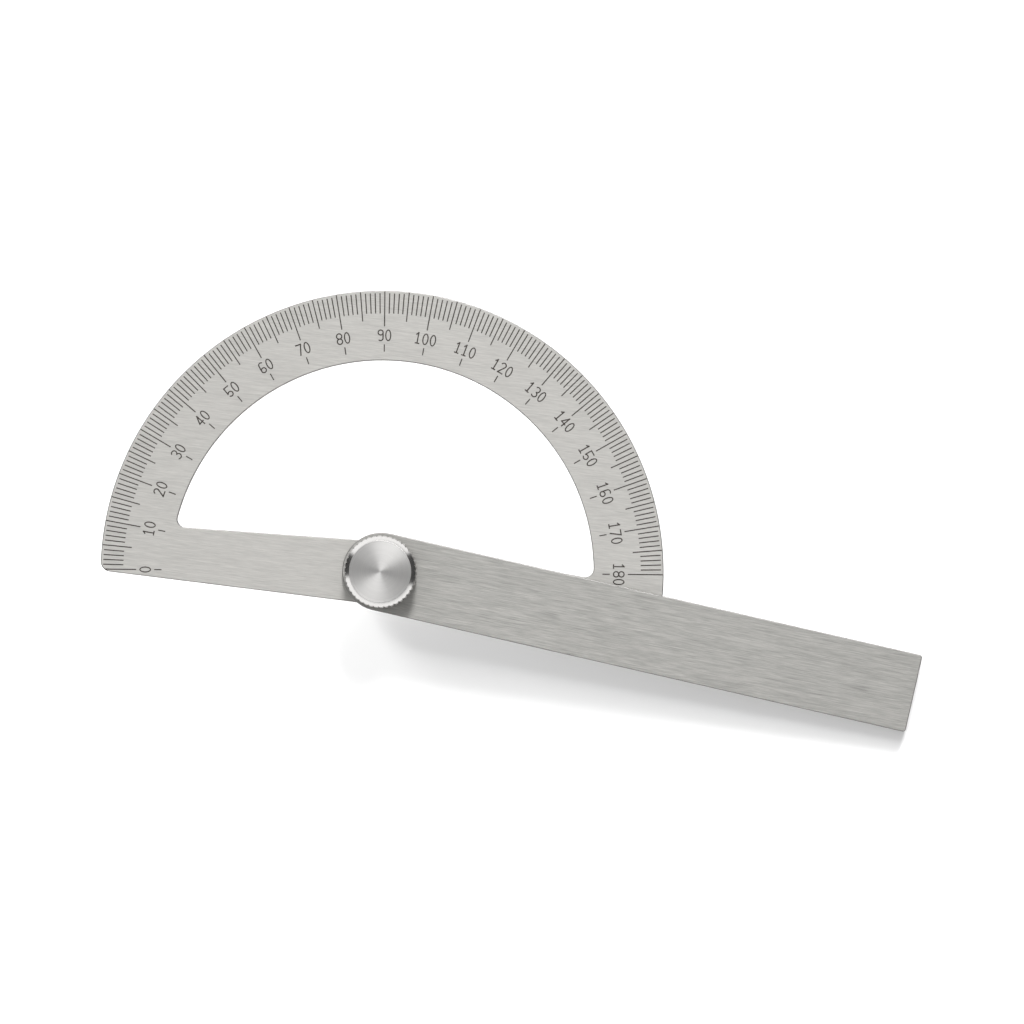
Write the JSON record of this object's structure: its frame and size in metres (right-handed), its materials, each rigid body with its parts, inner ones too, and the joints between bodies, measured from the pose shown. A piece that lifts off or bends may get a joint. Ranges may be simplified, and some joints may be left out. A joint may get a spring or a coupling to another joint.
{
  "type": "angle finder with a swing arm",
  "caption": "Half-round stainless degree plate with an open window, a straight arm that swings about its centre, and a knurled knob that locks the arm.",
  "frame": {"origin": "on the pivot axis, on the back of the pivot stud's head, which the tool lies on", "axes": "+X along the plate's straight edge towards the 180 end, +Y from the straight edge to the top of the arc, +Z out of the graduated face"},
  "size_m": [0.1468, 0.0666, 0.0088],
  "materials": {
    "plate_steel": "fine brushed grain along the straight edge",
    "etch_fill": "matt dark brown-grey fill in the etched scale",
    "stud_steel": "turned",
    "washer_fibre": "pressed fibre",
    "arm_steel": "brushed grain along the arm",
    "spring_steel": "rolled spring sheet",
    "washer_steel": "turned",
    "knob_steel": "turned bright face, knurled rim"
  },
  "bodies": {
    "plate": {"scale_plate": "plate_steel", "degree_lines": "etch_fill", "degree_numerals": "etch_fill", "pivot_stud": "stud_steel", "friction_washer": "washer_fibre"},
    "arm": {"swing_arm": "arm_steel", "spring_washer": "spring_steel"},
    "clamp": {"knob_washer": "washer_steel"},
    "knob": {"lock_knob": "knob_steel"}
  },
  "joints": [
    {"name": "arm_swing", "type": "hinge", "parent": "plate", "child": "arm", "pos_m": [0, 0, 0], "axis": [0, 0, 1], "continuous": true},
    {"name": "knob_lift", "type": "slide", "parent": "plate", "child": "clamp", "axis": [0, 0, 1], "range_m": [0, 0.00141]},
    {"name": "knob_turn", "type": "hinge", "parent": "clamp", "child": "knob", "pos_m": [0, 0, 0], "axis": [0, 0, 1], "range_deg": [0, 720]}
  ],
  "couplings": [
    {"joint": "knob_lift", "follows": "knob_turn", "m_per_rad": 0.00011141}
  ]
}
